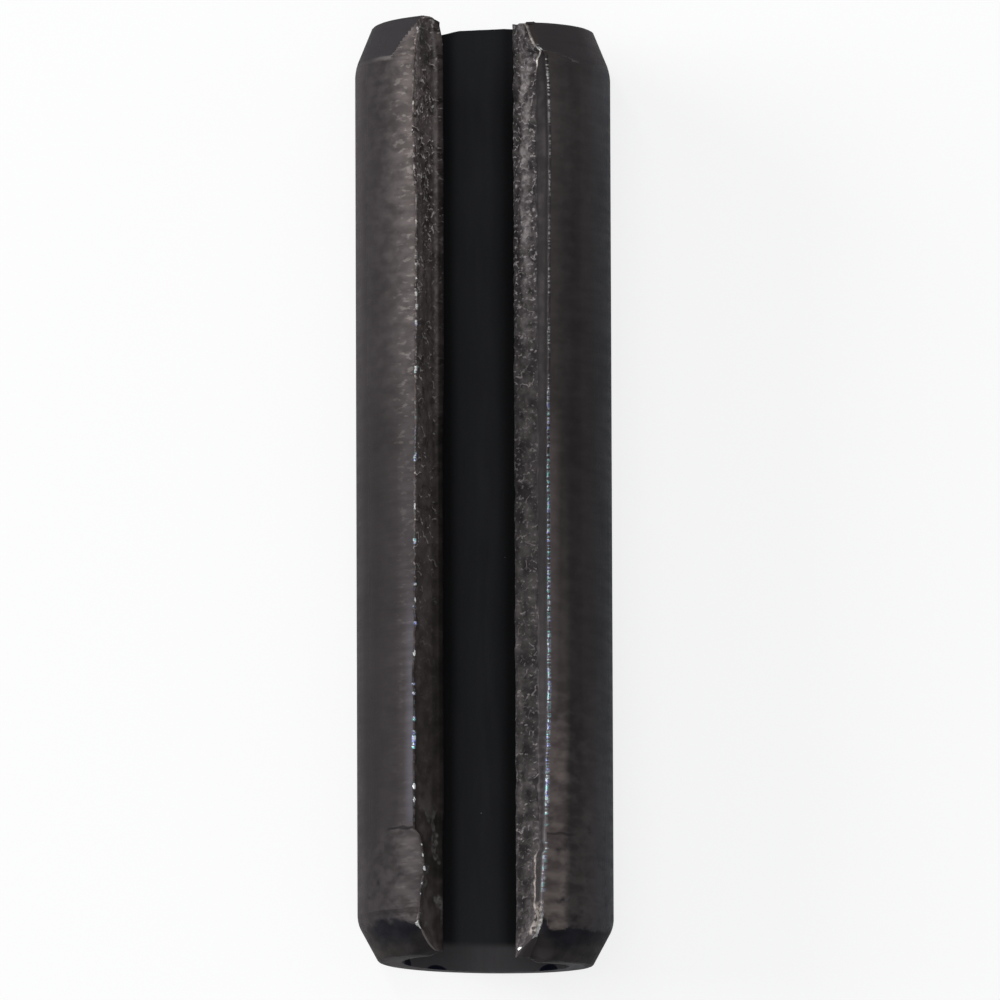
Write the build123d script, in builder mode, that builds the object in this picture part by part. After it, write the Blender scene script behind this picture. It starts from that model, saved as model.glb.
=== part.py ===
from build123d import *
import os
from math import atan2, cos, radians, sin, tan

os.makedirs("parts", exist_ok=True)

# A slotted spring pin for an 8 mm hole: one strip of spring steel, rolled into a tube
# that does not quite close. It lies on its back, as it comes to rest: its axis runs
# along Y, the slot looks up, and the origin is on the floor under the pin's middle.
# All sizes are in millimetres and degrees.

# ---- driving sizes -----------------------------------------------------------------
outer_diameter = 8.65       # free size, before the pin is driven into its hole
wall = 1.5                  # thickness of the strip
pin_length = 31.8

lip_angle = 31.1            # each outer lip of the slot, from the middle of the slot
lip_radius = 0.12           # rounding of both lips, left by the blade that cut the strip
land_depth = 0.58           # the smooth part of the sheared face, below its lip
land_turn = 0.7             # how far that part turns into the slot
torn_turn = 8.4             # how far the torn part below it turns on, down to the bore

front_drop = 0.71           # how far the steeper nose, at the -Y end, narrows the radius
front_slope = 28.4          # angle of that nose to the axis
front_shoulder = 1.1        # radius that blends that nose into the outside
back_drop = 0.60            # the same three sizes for the slimmer nose, at the +Y end
back_slope = 22.4
back_shoulder = 1.7
shoulder_crown = 0.01       # how far the shoulder arcs run out over the outside
rim_radius = 0.18           # rounding between each nose and its end face

# ---- what follows from them ----------------------------------------------------------
outer_radius = outer_diameter / 2
bore_radius = outer_radius - wall
crown_radius = outer_radius + shoulder_crown


def polar(radius, angle):
    """A point of the section, at an angle clockwise from the middle of the slot."""
    return (radius * sin(radians(angle)), radius * cos(radians(angle)))


def nose_run(drop, slope):
    """Length of a nose along the axis, from its end face to the outside."""
    return (drop + shoulder_crown) / tan(radians(slope))


# ---- the section: a ring with a slot cut out of its top ------------------------------
# The left face was cut square to the strip, so it points at the axis. The right face was
# sheared: a smooth land under the lip, and then a torn part that leans into the slot.
left_lip = polar(outer_radius, -lip_angle)
right_lip = polar(outer_radius, lip_angle)
land_edge = polar(outer_radius - land_depth, lip_angle - land_turn)
torn_edge = polar(bore_radius, lip_angle - land_turn - torn_turn)
clear_above = outer_diameter

with BuildSketch() as section:
    Circle(outer_radius)
    Circle(bore_radius, mode=Mode.SUBTRACT)
    with BuildLine():
        Polyline(
            (0, 0),
            left_lip,
            (left_lip[0], clear_above),
            (right_lip[0], clear_above),
            right_lip,
            land_edge,
            torn_edge,
            close=True,
        )
    make_face(mode=Mode.SUBTRACT)
    fillet(section.vertices().sort_by(Axis.Y)[-2:], radius=lip_radius)

# The section is heavier opposite its slot. Lying free, the pin rocks until that side is
# at the bottom, so the section is turned about the axis until its centre of mass is.
heavy_side = section.face().center()
rest_turn = atan2(-heavy_side.X, -heavy_side.Y)
axis_start = (0, 0, outer_radius)
across_pin = Plane(origin=axis_start, x_dir=(cos(rest_turn), 0, sin(rest_turn)), z_dir=(0, -1, 0))
along_pin = Plane(origin=axis_start, x_dir=(0, 1, 0), z_dir=(1, 0, 0))

# ---- the pin: the section at full length, trimmed by a turned outline ----------------
front_end = -pin_length / 2
back_end = pin_length / 2

with BuildPart() as spring_pin:
    with BuildSketch(across_pin):
        add(section.sketch)
    extrude(amount=pin_length, both=True)

    with BuildSketch(along_pin) as outline:
        with BuildLine():
            Polyline(
                (front_end, 0),
                (front_end, outer_radius - front_drop),
                (front_end + nose_run(front_drop, front_slope), crown_radius),
                (back_end - nose_run(back_drop, back_slope), crown_radius),
                (back_end, outer_radius - back_drop),
                (back_end, 0),
                close=True,
            )
        make_face()
        fillet(outline.vertices().sort_by(Axis.Y)[2:4], radius=rim_radius)
        fillet(outline.vertices().group_by(Axis.Y)[-1].sort_by(Axis.X)[0], radius=front_shoulder)
        fillet(outline.vertices().group_by(Axis.Y)[-1].sort_by(Axis.X)[-1], radius=back_shoulder)
    revolve(axis=Axis(axis_start, (0, 1, 0)), mode=Mode.INTERSECT)

spring_pin.part.label = "spring_pin"
export_step(spring_pin.part, "parts/spring_pin.step")
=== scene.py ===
# %% [markdown]
# # A slotted spring pin
# A spring pin is one strip of spring steel, sheared to width and rolled into a tube that does not quite
# close. Driven into a hole it is squeezed, and its own spring holds it there. This script makes it the way
# the factory does: a flat blank, tapered at both ends, worn and torn where the shear cut it, then rolled.
# Working on the flat blank keeps each step simple, because the cut faces, the lips and the ends are all
# straight there, and the roll bends all of them at once.

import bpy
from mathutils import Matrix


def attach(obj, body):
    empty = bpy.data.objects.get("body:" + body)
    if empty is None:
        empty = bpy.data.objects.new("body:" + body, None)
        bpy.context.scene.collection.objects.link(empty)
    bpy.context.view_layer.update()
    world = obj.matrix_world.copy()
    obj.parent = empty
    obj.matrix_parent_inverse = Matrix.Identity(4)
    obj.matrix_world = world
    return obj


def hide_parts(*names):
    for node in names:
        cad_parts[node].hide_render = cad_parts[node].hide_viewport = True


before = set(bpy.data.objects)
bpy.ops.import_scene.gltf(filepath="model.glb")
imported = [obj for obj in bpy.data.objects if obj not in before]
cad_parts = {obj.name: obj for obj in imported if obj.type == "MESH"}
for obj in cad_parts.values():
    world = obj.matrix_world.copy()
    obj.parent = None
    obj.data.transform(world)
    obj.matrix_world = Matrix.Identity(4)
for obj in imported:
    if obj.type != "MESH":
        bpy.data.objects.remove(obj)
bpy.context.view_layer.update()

# %% Tools for the bench
from math import cos, pi, radians, sin, tan
from types import SimpleNamespace

import bpy
import numpy as np
from mathutils import Matrix, Vector

print("tools are ready")

# %% [markdown]
# ## Sizes
# The bench works in millimetres, because bevels and merges have thresholds that would bite on a part this
# small in metres. The finished mesh is brought to metres at the end. On the flat blank x runs across the
# strip, y along the pin and z through the thickness. The face at z = 0 becomes the outside, the face at
# z = wall becomes the bore. The roll keeps lengths at the middle of the wall, so a lip that stands at an
# angle on the tube is that angle times the middle radius away from the middle of the blank.

# %% Sizes of the pin and of its flat blank
outer_radius = 4.325
wall = 1.5
middle_radius = outer_radius - wall / 2
lip_angle = 31.1
slot_lean = 1.076
half_length = 15.875
half_width = middle_radius * radians(180 - lip_angle)
lip_break = 0.06
land_depth = 0.58
land_reach = middle_radius * radians(0.7)
torn_reach = middle_radius * radians(9.1)
end_skew = 0.13
hair = 1e-4
press_line_place = -11.63
ends = {
    -1: {"drop": 0.71, "slope": radians(28.4), "shoulder": 1.1, "rim": 0.18},
    +1: {"drop": 0.60, "slope": radians(22.4), "shoulder": 1.7, "rim": 0.18},
}
print("blank:", round(2 * half_width, 3), "x", 2 * half_length, "x", wall, "mm")

# %% [markdown]
# ## Bench helpers
# Operators act on all that is selected. So a few helpers open the piece with nothing selected, close it
# again, select edges by where they lie, and saw through the whole block along a plane.

# %% Picking and cutting on the bench
def take(piece, kind):
    """Opens the piece for editing, with nothing selected."""
    bpy.ops.object.select_all(action="DESELECT")
    bpy.context.view_layer.objects.active = piece
    piece.select_set(True)
    bpy.ops.object.mode_set(mode="EDIT")
    bpy.ops.mesh.select_mode(type=kind)
    bpy.ops.mesh.select_all(action="DESELECT")


def put_down():
    """Closes the piece that is being edited."""
    bpy.ops.object.mode_set(mode="OBJECT")


def read(things, name, width=1, kind=float):
    """One property of all vertices, edges, faces or marks, one row each."""
    values = np.empty(len(things) * width, kind)
    things.foreach_get(name, values)
    return values.reshape(-1, width) if width > 1 else values


def places_of(piece):
    """The places of all vertices, one row each."""
    return read(piece.data.vertices, "co", 3)


def ends_of_edges(piece):
    """The places of the first and the second end of all edges."""
    places, pairs = places_of(piece), read(piece.data.edges, "vertices", 2, int)
    return places[pairs[:, 0]], places[pairs[:, 1]]


def pick_edges(piece, test):
    """Opens the piece with the edges selected that pass a test on their two ends."""
    chosen = test(*ends_of_edges(piece))
    take(piece, "EDGE")
    put_down()
    piece.data.edges.foreach_set("select", chosen)
    bpy.ops.object.mode_set(mode="EDIT")
    return int(chosen.sum())


def saw(piece, at, facing, keep_both=True):
    """Cuts the whole piece along a plane. It keeps both halves, or closes the cut and drops the far half."""
    take(piece, "EDGE")
    bpy.ops.mesh.select_all(action="SELECT")
    bpy.ops.mesh.bisect(
        plane_co=at, plane_no=facing, threshold=1e-5,
        use_fill=not keep_both, clear_outer=not keep_both,
    )
    put_down()


print("helpers are ready")

# %% [markdown]
# ## The blank
# The strip is sheared off a coil. A plain block at size stands for it, and the two ends are then filed to
# their noses. Each nose is one long taper, blended into the outside by a shoulder and into the end by a
# small rim. A file makes such a blend by several passes, each a little steeper, and so do the cuts here.

# %% The block and its filed noses
bpy.ops.object.select_all(action="DESELECT")
size = (2 * half_width, 2 * half_length, wall)
bpy.ops.mesh.primitive_cube_add(size=1, location=(0, 0, wall / 2), scale=size)
pin = bpy.context.object
pin.name = "spring_pin_strip"
bpy.ops.object.transform_apply(location=True, rotation=True, scale=True)


def passes(end):
    """The filing passes of one nose, as a point on each and its slope, from the outside to the end."""
    drop, slope, shoulder, rim = end["drop"], end["slope"], end["shoulder"], end["rim"]
    corner = drop / tan(slope)
    centre = corner + shoulder * tan(slope / 2)
    cuts = []
    for step in (1, 2, 3):
        turn = slope * step / 4
        cuts.append((centre - shoulder * sin(turn), shoulder * (1 - cos(turn)), turn))
    cuts.append((0, drop, slope))
    rim_depth = drop - rim * tan(slope) + rim / cos(slope)
    for step in (1, 2):
        turn = slope + (pi / 2 - slope) * step / 3
        cuts.append((rim * (1 - sin(turn)), rim_depth - rim * cos(turn), turn))
    return cuts


for side, end in ends.items():
    for inset, depth, turn in passes(end):
        place = (0, side * (half_length - inset), depth)
        saw(pin, place, (0, side * sin(turn), -cos(turn)), keep_both=False)
print("filed block:", len(pin.data.vertices), "vertices")

# %% [markdown]
# ## Rows and columns
# Detail is wanted where the shear has torn the steel: on the two cut faces and beside the lips. The rest of
# the tube is smooth. So the block gets rows along its length and columns across its width in three
# densities, and each change of density lies on a straight line of the tube, where it can't show.

# %% Rows at every corner of the noses
corners = sorted({round(float(y), 4) for y in places_of(pin)[:, 1]})
for y in corners[1:-1]:
    saw(pin, (0, y, 0), (0, 1, 0))
lip_band = half_width - 0.9
lip_join = half_width - 1.05
side_band = half_width - 2.6
side_join = half_width - 2.9
for x in (lip_band, lip_join, side_band, side_join):
    saw(pin, (x, 0, 0), (1, 0, 0))
    saw(pin, (-x, 0, 0), (1, 0, 0))
print("rows:", len(corners), "quads:", len(pin.data.polygons))

# %% Finer rows towards the lips
def split(piece, axis, size, where):
    """Divides the edges along one axis into lengths of about a size, where a test on their middles passes."""
    def parts(first, second):
        """Into how many parts each edge goes, or 0 where it lies another way."""
        along = np.abs(second - first)
        lying = along[:, axis] > hair
        if axis < 2:
            lying &= along[:, 1 - axis] < hair
        else:
            lying &= (along[:, 0] < hair) & (along[:, 1] < hair)
        lying &= where((first + second) / 2)
        return np.where(lying, np.maximum(1, np.rint(along[:, axis] / size)), 0).astype(int)

    for number in sorted(set(parts(*ends_of_edges(piece))) - {0, 1}):
        pick_edges(piece, lambda first, second: parts(first, second) == number)
        bpy.ops.mesh.subdivide(number_cuts=int(number) - 1)
        put_down()


split(pin, 1, 0.8, lambda p: np.ones(len(p), bool))
split(pin, 1, 0.2, lambda p: np.abs(p[:, 0]) > side_band - 0.01)
split(pin, 1, 0.065, lambda p: np.abs(p[:, 0]) > lip_band - 0.01)
print("faces after the rows:", len(pin.data.polygons))

# %% [markdown]
# The shear never leaves a knife edge. Before the columns are cut, all the edges round both cut faces are
# broken by a small bevel, so the lips have a width of their own to catch the light.

# %% Broken edges round both cut faces
def round_the_cuts(first, second):
    """The edges that bound the two cut faces."""
    first_off, second_off = [np.abs(np.abs(end[:, 0]) - half_width) for end in (first, second)]
    at_lip = (first_off < hair) & (second_off < hair)
    bottom = (first[:, 2] > wall - hair) & (second[:, 2] > wall - hair)
    at_end = (np.abs(first[:, 1]) > half_length - hair) & (np.abs(second[:, 1]) > half_length - hair)
    upright = np.abs(first[:, 1] - second[:, 1]) < hair
    return at_lip & (bottom | at_end | ~upright)


count = pick_edges(pin, round_the_cuts)
bpy.ops.mesh.bevel(offset=lip_break, segments=2, affect="EDGES", profile=0.5, clamp_overlap=False)
put_down()
print("broken edges:", count, "faces:", len(pin.data.polygons))

# %% Columns across the strip and through its thickness
face_rows = 27
for side in (-1, 1):
    split(pin, 0, 0.07, lambda p: (side * p[:, 0] > lip_band) & (side * p[:, 0] < half_width - 0.065))
    split(pin, 0, 0.22, lambda p: (side * p[:, 0] > side_band) & (side * p[:, 0] < lip_join))
split(pin, 0, 0.28, lambda p: np.abs(p[:, 0]) < side_join)
split(pin, 2, 0.25, lambda p: np.abs(p[:, 0]) < lip_join)


def uprights(first, second):
    """The long upright edges of the two cut faces."""
    return (np.abs(first[:, 0]) > half_width - 0.07) & (np.abs(second - first)[:, 2] > 0.4)


pick_edges(pin, uprights)
bpy.ops.mesh.subdivide(number_cuts=face_rows - 1)
put_down()
triangles = sum(len(face.vertices) - 2 for face in pin.data.polygons)
print("faces:", len(pin.data.polygons), "triangles:", triangles)

# %% [markdown]
# ## Marks that the finish will need
# Once the strip is rolled, it is hard to say how far a point is from a lip. So each vertex keeps its place
# on the flat blank as an attribute. The roll doesn't touch it, and the materials read it as a map.

# %% The flat places, kept for the finish
def keep(piece, name, values):
    """Keeps a number or a place for each vertex under a name."""
    kind, field = ("FLOAT_VECTOR", "vector") if values.ndim == 2 else ("FLOAT", "value")
    kept = piece.data.attributes.new(name, kind, "POINT")
    kept.data.foreach_set(field, values.astype(np.float32).ravel())


keep(pin, "flat_place", places_of(pin))
x, y, z = places_of(pin).T
rows_per_mm = 2000  # places closer than this are one row
rows, which = np.unique(np.rint(y * rows_per_mm).astype(int), return_inverse=True)
skin_height = np.full(len(rows), wall)
np.minimum.at(skin_height, which, z)
keep(pin, "under_skin", z - skin_height[which])
print("flat places kept:", len(z), "rows:", len(rows))

# %% [markdown]
# The blank has three kinds of face, and each takes its own finish at the end. On the flat blank a face's
# middle tells them apart: bore at the full thickness, cut faces at both edges, and the rest outside.

# %% Which finish each face will take
middles = read(pin.data.polygons, "center", 3)
finish = np.zeros(len(middles), int)
finish[middles[:, 2] > wall - 0.001] = 1
finish[np.abs(middles[:, 0]) > half_width - 0.055] = 2
print("outside, bore and cut faces:", np.bincount(finish))

# %% [markdown]
# ## The press
# A Displace modifier moves each vertex along one axis by its weight in a vertex group. A rule gives the
# weight at each place, so one helper presses any shape. Weights stop at 0 and 1, and a rule that would push
# both ways is split in two.

# %% The press, and what its rules are made of
def displace(piece, name, rule, least, **settings):
    """Moves the piece by the weights, from 0 to 1, that a rule gives. Weights up to least are left out."""
    weights = np.clip(rule(*places_of(piece).T), 0, 1)
    chosen = np.nonzero(weights > least)[0]
    group = piece.vertex_groups.new(name=name)
    for index in chosen:
        group.add([int(index)], float(weights[index]), "REPLACE")
    die = piece.modifiers.new(name, "DISPLACE")
    for setting, value in settings.items():
        setattr(die, setting, value)
    die.vertex_group = name
    bpy.context.view_layer.objects.active = piece
    bpy.ops.object.modifier_apply(modifier=name)
    piece.vertex_groups.remove(piece.vertex_groups[name])
    return len(chosen)


def press(piece, name, rule, depth, direction):
    """Moves the piece along one axis, by depth where rule(x, y, z) gives 1."""
    return displace(piece, name, rule, 1e-4, direction=direction, strength=depth, mid_level=0)


def step_up(value, start, end):
    """0 before start, 1 after end, and a smooth step between them. It works downwards too."""
    share = np.clip((value - start) / (end - start), 0, 1)
    return share * share * (3 - 2 * share)


def spread(value, shares):
    """A share set at some places, as {place: share}, and even between them."""
    return np.interp(value, list(shares), list(shares.values()))


def ragged(value, size, seed):
    """A wandering line: a chance value between -1 and 1 at every step of size, joined smoothly."""
    draws = np.random.default_rng(seed).uniform(-1, 1, 2000)
    place = value / size + 1000
    whole = np.floor(place).astype(int)
    share = place - whole
    share = share * share * (3 - 2 * share)
    return draws[whole] * (1 - share) + draws[whole + 1] * share


bpy.ops.object.select_all(action="DESELECT")
bpy.context.view_layer.objects.active = pin
print("press is ready")

# %% [markdown]
# ## The noses fade out beside the slot
# The noses were pressed, not turned, and the press didn't reach into the corners beside the slot. There the
# outside keeps its full height almost to the end, and a short steep wall drops to the nose. Each corner has
# its own outline, drawn here as how far the wall stands from the end at a few distances from the lip.

# %% The four corners that the press missed
def from_lip(x, side):
    """The distance of a place from the lip on one side of the slot, across the strip."""
    return half_width - side * x


def on_skin(z):
    """1 on the outside, and 0 on the bore."""
    return z < wall / 2


def nose_depth(y, end):
    """How deep a nose lies under the outside."""
    shape = ends[end]
    return np.clip(shape["drop"] - (half_length - end * y) * tan(shape["slope"]), 0, None)


def missed_corner(side, end, walls, seed):
    """Where the outside keeps its height beside a lip, as a rule for press."""
    def rule(x, y, z):
        gap, lip = half_length - end * y, from_lip(x, side)
        line = spread(lip, walls) + 0.03 * ragged(lip, 0.16, seed)
        depth = nose_depth(y, end)
        kept = step_up(gap, line - 0.07, line + 0.03) * (lip < max(walls))
        return kept * depth / ends[end]["drop"] * np.clip((wall - z) / (wall - depth), 0, 1)
    return rule


corners_missed = {
    "left_back": (-1, +1, {-1: 0.09, 0: 0.09, 0.39: 0.74, 0.80: 1.36, 1.2: 1.6}),
    "right_back": (+1, +1, {-1: 0.98, 0: 0.98, 0.52: 1.13, 1.40: 1.42, 1.6: 1.6}),
    "left_front": (-1, -1, {-1: 0.86, 0: 0.86, 0.48: 1.16, 0.78: 1.34, 1.2: 1.5}),
    "right_front": (+1, -1, {-1: 1.45, 0: 1.45, 0.05: 1.20, 0.15: 1.05, 0.66: 1.05, 0.76: 1.25, 0.9: 1.4}),
}
for seed, (name, (side, end, walls)) in enumerate(corners_missed.items(), 1):
    moved = press(pin, name, missed_corner(side, end, walls, seed), -ends[end]["drop"], "Z")
    print(name, "vertices:", moved)

# %% [markdown]
# At three corners the press did the opposite and bit deeper than the nose. Each bite is given by its depth
# and its width at a few distances from the end. How far the outside was pressed is then kept as a mark.

# %% Three corners that the press bit deeper
def bitten_corner(side, end, amounts, widths):
    """Where a nose goes deeper beside a lip, by distances from the end, as a rule for press."""
    def rule(x, y, z):
        gap = half_length - end * y
        bite = spread(gap, amounts) * step_up(from_lip(x, side), spread(gap, widths), 0.03)
        return bite * np.clip((wall - z) / (wall - nose_depth(y, end)), 0, 1)
    return rule


press(pin, "left_front_bite", bitten_corner(-1, -1, {0: 1, 0.95: 0}, {0: 0.55}), 0.50, "Z")
amounts = {0: 1, 0.3: 0.93, 0.75: 0.73, 1.0: 0.6, 1.2: 0.47, 1.4: 0.27, 1.6: 0}
widths = {0.3: 0.6, 0.75: 0.5, 1.0: 0.3, 1.2: 0.14, 1.4: 0.10}
press(pin, "right_front_bite", bitten_corner(+1, -1, amounts, widths), 0.72, "Z")
press(pin, "right_back_bite", bitten_corner(+1, +1, {0: 1, 1.40: 0}, {0: 0.50}), 0.08, "Z")

x, y, z = places_of(pin).T
under = read(pin.data.attributes["under_skin"].data, "value")
keep(pin, "pressed", np.where(under < 0.02, z, 0))
print("deepest nose:", round(float(z[under < 0.02].max()), 3))

# %% [markdown]
# Behind the near nose the press also left a shallow dip on each side of the slot. It ends in a ragged edge.

# %% A hollow under each shoulder of the near nose
def hollow(side):
    """A dip under the shoulder on one side of the slot, as a rule for press."""
    def rule(x, y, z):
        gap = half_length + y
        lip = from_lip(x, side)
        edge = 1.50 + 0.05 * ragged(lip, 0.5, 5 + side)
        along = step_up(gap, 0.8, 1.2) * step_up(gap, edge, edge - 0.06)
        return along * step_up(lip, 0.25, 0.5) * step_up(lip, 2.9, 1.6) * on_skin(z)
    return rule


press(pin, "left_hollow", hollow(-1), 0.07, "Z")
press(pin, "right_hollow", hollow(+1), 0.04, "Z")
print("hollows pressed")

# %% [markdown]
# ## The cut faces
# The shear cuts cleanly for a little over a third of the thickness, and the rest tears away and leans out.
# On the right side of the slot that tear points into the slot. The left side was cut square.

# %% The clean land and the torn part of the right face
def right_face(x):
    """1 on the right cut face."""
    return x > half_width - 0.001


def land_edge(y):
    """How deep the clean land reaches at each place along the pin. It is shallow at the far end."""
    wave = 0.05 * ragged(y, 0.9, 11) + 0.035 * ragged(y, 0.22, 12)
    return land_depth + wave - 0.33 * step_up(y, 14.6, 15.0) + 0.15 * step_up(y, -11.8, -12.3)


press(pin, "land_lean", lambda x, y, z: right_face(x) * z / land_depth, land_reach, "X")
press(pin, "torn_lean", lambda x, y, z: right_face(x) * (z - land_edge(y)) / (wall - land_edge(y)),
      torn_reach - land_reach, "X")
print("the right face leans out by", round(torn_reach, 2), "mm at the bore")

# %% [markdown]
# ### The lips
# The press pushed soft corners of the lips into the slot. Farther along, the lips wander a little, because
# the strip wasn't sheared quite straight. Each run is a table of places along the pin and the share of one
# depth that the lip leans there. At the bore the left face turns under, and one corner was bent back.

# %% Lips pushed into the slot where the ends were pressed
def pushed_lip(side, shares, depth):
    """A lip that the press pushed over, by shares at places along the pin, as a rule for press."""
    def rule(x, y, z):
        return spread(y, shares) * step_up(z, depth, 0.0) * step_up(from_lip(x, side), 0.55, 0.0)
    return rule


def lip_run(side, shares, depth):
    """A long stretch of lip that wandered a little, down to a depth, as a rule for press."""
    def rule(x, y, z):
        return spread(y, shares) * step_up(from_lip(x, side), 1.8, 0.0) * step_up(z, depth, depth / 3)
    return rule


left_push = {
    -15.9: 1.0, -15.6: 0.8, -15.0: 0.25, -14.8: 0.2, -14.4: 0.45, -13.7: 0.6, -13.2: 1.0,
    -12.2: 0.75, -11.9: 0.55, -11.7: 0, 14.5: 0, 15.1: 0.35, 15.6: 0.6, 15.9: 0.7,
}
right_push = {
    -15.9: 0.35, -15.2: 0.35, -14.2: 0.33, -12.3: 0.28, -12.1: 0.0,
    14.7: 0, 14.9: 0.2, 15.5: 0.5, 15.9: 0.6,
}
left_in = {-6.8: 0, -3.2: 0.05, -0.3: 0.3, 4.3: 0.62, 7: 0.72, 9.4: 0.9, 11.4: 0.15, 13.4: 0.15, 14.6: 0.3}
right_out = {
    -8.0: 0, -7.0: 0.15, 1.6: 0.15, 3.3: 0.30, 4.7: 0.38,
    7.3: 0.5, 9.7: 0.62, 11.7: 0.8, 13.8: 0.5, 15.0: 0,
}
right_in = {-15.2: 0, -13.9: 0.55, -12.6: 0.28, -12.2: 0.3, -11.9: 0.9, -11.1: 0.5, -9.4: 0.28, -8.0: 0}
for name, rule, depth in (
    ("left_lip_push", pushed_lip(-1, left_push, 0.55), -0.30),
    ("right_lip_push", pushed_lip(+1, right_push, 1.3), 0.45),
    ("left_lip_out", lip_run(-1, {-11.9: 0, -11.6: 1, -9.3: 1, -6.8: 0}, 0.9), 0.035),
    ("left_lip_in", lip_run(-1, left_in, 0.9), -0.115),
    ("right_lip_out", lip_run(+1, right_out, 0.55), -0.15),
    ("right_lip_in", lip_run(+1, right_in, 0.5), 0.16),
):
    press(pin, name, rule, depth, "X")


def inner_roll(x, y, z):
    """Where the left face turns under at the bore."""
    low = spread(z, {1.15: 0, 1.28: 0.25, 1.44: 1, 1.5: 1})
    run = spread(y, {-12: 0.55, -11: 0.75, 1: 0.75, 4: 1, 15.0: 1, 15.7: 0.5})
    return low * step_up(from_lip(x, -1), 0.3, 0.0) * run


def back_corner(x, y, z):
    """The far corner of the left face at the bore."""
    return step_up(from_lip(x, -1), 0.6, 0.0) * step_up(y, 15.2, 15.9) * step_up(z, 1.15, 1.5)


press(pin, "left_inner_roll", inner_roll, -0.31, "X")
press(pin, "left_back_corner", back_corner, -0.14, "Y")
print("lips pushed")

# %% [markdown]
# The tool that closed the near end stopped at one line. It left a low step there, over which the steel is
# pressed down and then rises again towards the end.

# %% The step that the press left round the near end
def press_line(side):
    """A shallow step across the outside that fades towards the near end, as a rule for press."""
    def rule(x, y, z):
        lip = from_lip(x, side)
        line = press_line_place + 0.05 * ragged(lip, 0.3, 21 + side)
        sill = step_up(y, line, line - 0.05) * step_up(y, line - 1.6, line - 0.3)
        return sill * step_up(lip, 1.3, 0.9) * on_skin(z)
    return rule


press(pin, "left_press_line", press_line(-1), -0.045, "Z")
press(pin, "right_press_line", press_line(+1), -0.03, "Z")
print("press line made")

# %% [markdown]
# ## Ragged lips and torn grain
# A shear leaves a fine burr along each lip, a bead that is high in one place and broken off in the next.
# Displace modifiers with Blender's own textures make the grain of the torn steel.

# %% The bead and the broken line of each lip
def bead(side, size, seed, low):
    """A broken bead along one lip, where a ragged line is over low, as a rule for press."""
    def rule(x, y, z):
        lip = np.abs(from_lip(x, side))
        chance = np.clip(ragged(y, size, seed) - low, 0, 1)
        return chance * step_up(lip, 0.16, 0.02) * step_up(z, 0.2, 0.03)
    return rule


for side, name in ((-1, "left"), (1, "right")):
    press(pin, name + "_bead", bead(side, 0.14, 31 + side, -0.2), -0.022, "Z")
    press(pin, name + "_bead_in", bead(side, 0.19, 35 + side, -0.1), 0.030 * side, "X")


def notches(x, y, z):
    """Chance notches in one stretch of the left lip."""
    chance = np.clip(ragged(y, 0.45, 41) - 0.3, 0, 1)
    stretch = step_up(y, -9.9, -9.0) * step_up(y, -3, -4.5)
    return chance * step_up(z, 0.35, 0) * step_up(from_lip(x, -1), 0.3, 0) * stretch


press(pin, "left_notches", notches, 0.12, "X")
print("lips are ragged")

# %% [markdown]
# Torn steel is rough at two sizes: cells where grains came out, and lumps under them. One helper displaces
# the piece by a Blender texture. The texture hangs on an Empty, so that it can be stretched.

# %% The torn grain
def roughen(piece, name, rule, kind, size, depth, direction="NORMAL", stretch=(1, 1, 1), **settings):
    """Moves the piece in and out by one of Blender's textures, where a rule allows it."""
    grain = bpy.data.textures.new(name, kind)
    for setting, value in {"noise_scale": size, **settings}.items():
        setattr(grain, setting, value)
    place = bpy.data.objects.new(name, None)
    place.scale = stretch
    bpy.context.scene.collection.objects.link(place)
    bpy.context.view_layer.update()
    displace(piece, name, rule, 1e-3, texture=grain, texture_coords="OBJECT", texture_coords_object=place,
             direction=direction, strength=depth, mid_level=0.5)
    bpy.data.objects.remove(place)
    bpy.data.textures.remove(grain)


def on_left_face(x, y, z):
    """1 on the left cut face, and less towards its edges."""
    return (x < -half_width + 0.15) * step_up(np.minimum(z - nose_depth(y, 1), wall - z), 0.0, 0.12)


def on_torn_face(x, y, z):
    """1 on the torn part of the right cut face."""
    below_land = step_up(z, land_depth - 0.05, land_depth + 0.12)
    return (x > half_width - 0.01) * below_land * step_up(wall - z, 0.0, 0.08)


def more_towards(face, low, start, end):
    """A rule for one cut face, less before start and full after end."""
    return lambda x, y, z: face(x, y, z) * (low + (1 - low) * step_up(y, start, end))


cells = {"kind": "VORONOI", "distance_metric": "DISTANCE", "noise_intensity": 1.0}
roughen(pin, "left_cells", more_towards(on_left_face, 0.15, -2, 6), size=0.34, depth=0.07, **cells)
roughen(pin, "left_lumps", on_left_face, "CLOUDS", 0.7, 0.06, noise_depth=1)
roughen(pin, "torn_cells", more_towards(on_torn_face, 0.35, 0, 10), size=0.26, depth=0.09, **cells)
roughen(pin, "torn_lumps", on_torn_face, "CLOUDS", 0.6, 0.10, noise_depth=1)
print("cut faces are torn")

# %% [markdown]
# The same helper beats the outside beside the lips, where the steel was hit and the oxide flaked off. It is
# strongest at the far end of the left lip and at the near end of the right one.

# %% The outside beside the lips, beaten and flaked
def beside(x, side, start, end):
    """1 up to start from a lip, and 0 from end on."""
    return step_up(from_lip(x, side), end, start) * (from_lip(x, side) > -0.02)


def flakes(side, inner, outer, start, end):
    """A strip of the outside beside a lip that is beaten more from start to end, as a rule for roughen."""
    def rule(x, y, z):
        return beside(x, side, inner, outer) * on_skin(z) * (0.05 + 0.95 * step_up(y, start, end))
    return rule


def dented(x, y, z):
    """A short strip at the far end, a little away from the left lip."""
    lip = from_lip(x, -1)
    strip = step_up(lip, 0.9, 1.2) * step_up(lip, 2.2, 1.7)
    return on_skin(z) * strip * step_up(y, 13.6, 13.9) * step_up(y, 14.5, 14.2)


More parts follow.
